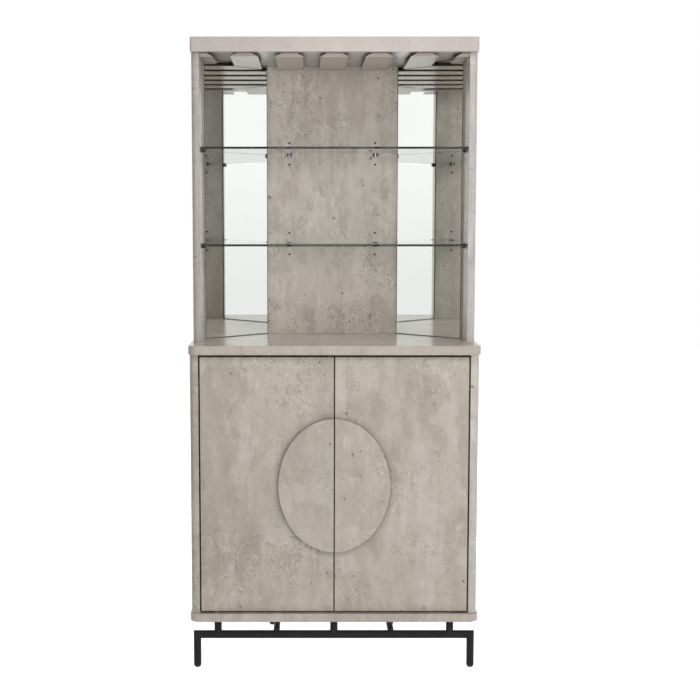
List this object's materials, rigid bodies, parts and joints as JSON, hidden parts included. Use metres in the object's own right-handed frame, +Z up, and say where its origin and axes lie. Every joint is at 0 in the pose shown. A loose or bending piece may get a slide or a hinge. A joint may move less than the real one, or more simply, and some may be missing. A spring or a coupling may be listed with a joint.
{
  "type": "corner bar cabinet",
  "caption": "Corner bar cabinet: hinged doors below, an open mirrored hutch with glass shelves and stemware rails above, on a black tube frame.",
  "frame": {"origin": "centre of the bounding box on the floor: midway between the sides, halfway from the front edge of the bar top to the back edge", "axes": "+X to the right seen from the front, +Y towards the room corner, +Z up; the doors and the open hutch face -Y"},
  "size_m": [0.8, 0.3936, 1.739],
  "materials": {
    "concrete_laminate": "matt grey-beige concrete-effect laminate on board",
    "plain_board": "plain melamine-faced board",
    "black_steel": "black powder coat",
    "bright_steel": "nickel plated",
    "black_nylon": "moulded nylon",
    "clear_glass": "clear float glass with polished edges",
    "silvered_glass": "silvered float glass"
  },
  "bodies": {
    "carcass": {"bar_top": "concrete_laminate", "base_centre_back": "concrete_laminate", "base_left_back": "plain_board", "base_left_side": "concrete_laminate", "base_right_back": "plain_board", "base_right_side": "concrete_laminate", "bottom_panel": "concrete_laminate", "front_left_foot_cap": "black_nylon", "front_leg_frame": "black_steel", "front_right_foot_cap": "black_nylon", "hutch_centre_back": "concrete_laminate", "hutch_left_mirror": "silvered_glass", "hutch_left_mirror_board": "plain_board", "hutch_left_side": "concrete_laminate", "hutch_right_mirror": "silvered_glass", "hutch_right_mirror_board": "plain_board", "hutch_right_side": "concrete_laminate", "inner_shelf": "concrete_laminate", "left_back_shelf_peg": "bright_steel", "left_link_rail": "black_steel", "left_lower_pivot_plate": "black_steel", "left_side_shelf_peg": "bright_steel", "left_upper_pivot_plate": "black_steel", "lower_glass_shelf": "clear_glass", "lower_left_back_clip": "bright_steel", "lower_left_side_clip": "bright_steel", "lower_right_back_clip": "bright_steel", "lower_right_side_clip": "bright_steel", "magnetic_catch": "black_nylon", "rear_left_foot_cap": "black_nylon", "rear_leg_frame": "black_steel", "rear_right_foot_cap": "black_nylon", "right_back_shelf_peg": "bright_steel", "right_link_rail": "black_steel", "right_lower_pivot_plate": "black_steel", "right_side_shelf_peg": "bright_steel", "right_upper_pivot_plate": "black_steel", "stem_rail_1": "concrete_laminate", "stem_rail_2": "concrete_laminate", "stem_rail_3": "concrete_laminate", "stem_rail_4": "concrete_laminate", "stem_rail_5": "concrete_laminate", "stem_rail_6": "concrete_laminate", "stem_rail_7": "concrete_laminate", "top_slab": "concrete_laminate", "upper_glass_shelf": "clear_glass", "upper_left_back_clip": "bright_steel", "upper_left_side_clip": "bright_steel", "upper_right_back_clip": "bright_steel", "upper_right_side_clip": "bright_steel"},
    "left_door": {"left_door": "concrete_laminate", "left_door_half_oval": "concrete_laminate", "left_door_lower_bush": "black_nylon", "left_door_strike": "bright_steel", "left_door_upper_bush": "black_nylon"},
    "right_door": {"right_door": "concrete_laminate", "right_door_half_oval": "concrete_laminate", "right_door_lower_bush": "black_nylon", "right_door_strike": "bright_steel", "right_door_upper_bush": "black_nylon"}
  },
  "joints": [
    {"name": "left_door_hinge", "type": "hinge", "parent": "carcass", "child": "left_door", "pos_m": [-0.361, -0.17775, 0.158], "axis": [0, 0, -1], "range_deg": [0, 110]},
    {"name": "right_door_hinge", "type": "hinge", "parent": "carcass", "child": "right_door", "pos_m": [0.361, -0.17775, 0.158], "axis": [0, 0, 1], "range_deg": [0, 110]}
  ]
}
